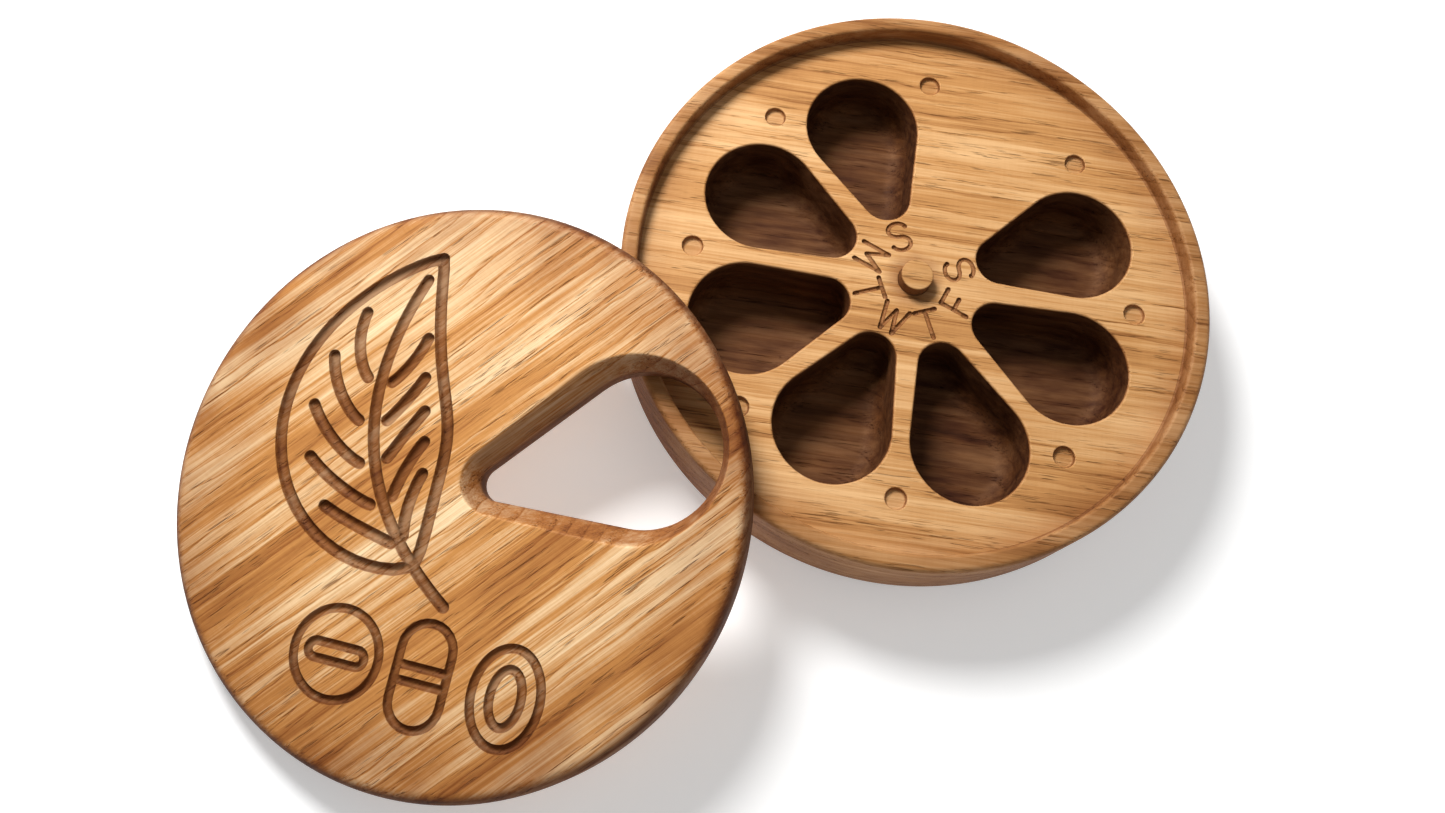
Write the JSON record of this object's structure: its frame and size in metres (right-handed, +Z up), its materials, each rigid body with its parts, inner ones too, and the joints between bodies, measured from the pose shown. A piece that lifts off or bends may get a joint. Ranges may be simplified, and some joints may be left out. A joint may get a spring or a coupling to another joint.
{
  "type": "weekly pill organiser",
  "caption": "Round wooden pill tray with teardrop pockets round a centre pin, and a turning lid with one window that leans on its rim.",
  "frame": {"origin": "centre of the tray's flat bottom, on the tray's axis", "axes": "+Z up along the tray's axis; -X from the tray towards the lid that leans on its rim; +Y completes the right-handed frame"},
  "size_m": [0.2148, 0.12, 0.0328],
  "materials": {
    "tray_wood": "oiled",
    "pin_wood": "oiled",
    "lid_wood": "oiled",
    "sleeve_brass": "turned",
    "spring_steel": "drawn wire",
    "ball_steel": "polished"
  },
  "bodies": {
    "tray": {"tray": "tray_wood"},
    "pivot": {"centre_pin": "pin_wood"},
    "detent": {"detent_ball": "ball_steel"},
    "lid": {"lid": "lid_wood", "detent_sleeve": "sleeve_brass", "detent_spring": "spring_steel"}
  },
  "joints": [
    {"name": "lid_turn", "type": "hinge", "parent": "tray", "child": "pivot", "pos_m": [0, 0, 0.018], "axis": [0, 0, 1], "continuous": true},
    {"name": "lid_carry", "type": "hinge", "parent": "pivot", "child": "detent", "pos_m": [-0.00531, 0.00701, 0.02192], "axis": [-0.0262, 0.9997, 0], "range_deg": [0, 180]},
    {"name": "lid_level", "type": "hinge", "parent": "detent", "child": "lid", "pos_m": [-0.05556, 0.0057, 0.02435], "axis": [0, 1, 0], "range_deg": [-167, 0]}
  ],
  "couplings": [
    {"joint": "lid_level", "follows": "lid_carry", "ratio": -0.92556}
  ]
}
